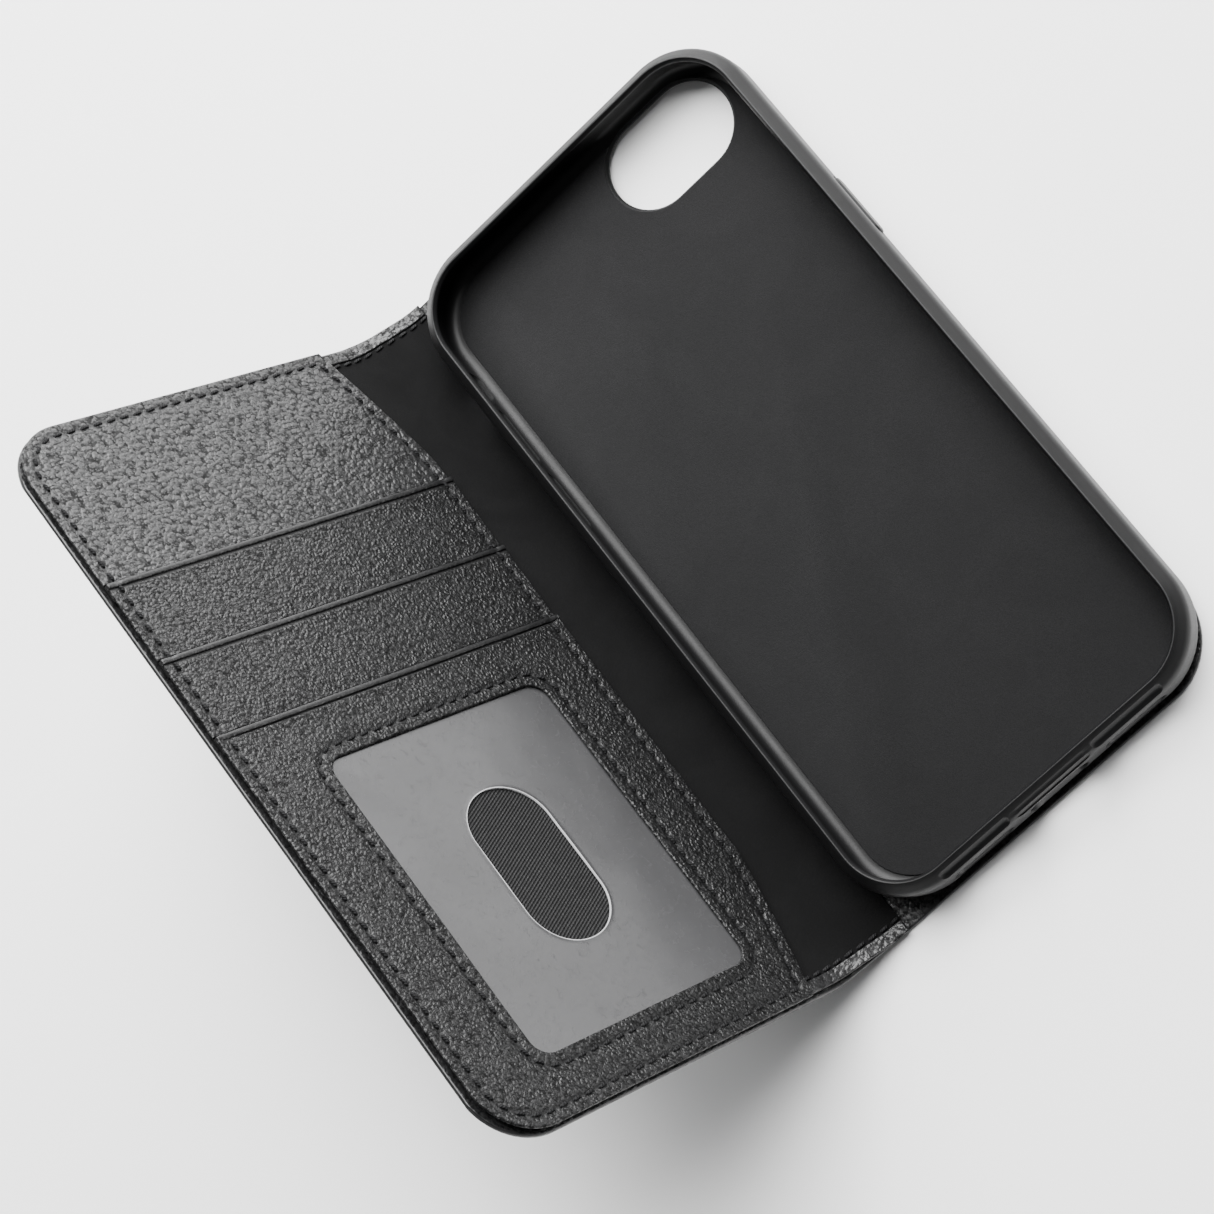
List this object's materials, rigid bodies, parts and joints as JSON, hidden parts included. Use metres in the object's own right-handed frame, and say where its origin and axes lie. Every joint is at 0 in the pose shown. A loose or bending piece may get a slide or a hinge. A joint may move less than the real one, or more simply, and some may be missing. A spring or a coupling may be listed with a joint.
{
  "type": "phone wallet case",
  "caption": "Folio case for a phone: moulded tray with lip and camera opening, flexible leather spine, and a folding cover with card slots and a clear window pocket.",
  "frame": {"origin": "middle of the outer back face of the tray, on the surface it lies on", "axes": "+X from the spine to the free edge of the tray, +Y from the bottom of the phone to its top, +Z out of the open side of the tray"},
  "size_m": [0.1284, 0.1486, 0.0766],
  "materials": {
    "shell": "matte, soft touch",
    "button": "matte, soft touch",
    "suede": "short-napped microsuede",
    "leather": "pebbled grain",
    "leather_inside": "pebbled grain",
    "thread": "bonded thread",
    "board": "grey board",
    "twill": "fine twill",
    "film": "frosted clear film"
  },
  "bodies": {
    "tray": {"tray_shell": "shell", "floor_lining": "suede", "back_leather": "leather"},
    "volume_up": {"volume_up_button": "button"},
    "volume_down": {"volume_down_button": "button"},
    "side_key": {"side_button": "button"},
    "spine": {"spine_leather": "leather", "spine_lining": "suede", "spine_seam_top": "thread", "spine_seam_bottom": "thread"},
    "cover": {"cover_leather": "leather", "cover_board": "board", "pocket_lining_1": "twill", "pocket_lining_2": "twill", "pocket_lining_3": "twill", "top_panel": "leather_inside", "pocket_panel_1": "leather_inside", "pocket_panel_2": "leather_inside", "window_panel": "leather_inside", "window_film": "film", "pocket_seam": "thread", "window_seam": "thread"}
  },
  "joints": [
    {"name": "tray_fold", "type": "hinge", "parent": "tray", "child": "spine", "pos_m": [-0.0389, 0, 0.0008], "axis": [0, 1, 0], "range_deg": [-30, 58]},
    {"name": "cover_fold", "type": "hinge", "parent": "spine", "child": "cover", "pos_m": [-0.05016, 0, 0.0073], "axis": [0, 1, 0], "range_deg": [-30, 58]},
    {"name": "volume_up_press", "type": "slide", "parent": "tray", "child": "volume_up", "axis": [1, 0, 0], "range_m": [0, 0.0004], "stiffness_N_per_m": 4000},
    {"name": "volume_down_press", "type": "slide", "parent": "tray", "child": "volume_down", "axis": [1, 0, 0], "range_m": [0, 0.0004], "stiffness_N_per_m": 4000},
    {"name": "side_press", "type": "slide", "parent": "tray", "child": "side_key", "axis": [-1, 0, 0], "range_m": [0, 0.0004], "stiffness_N_per_m": 4000}
  ],
  "couplings": [
    {"joint": "cover_fold", "follows": "tray_fold", "ratio": 1}
  ]
}
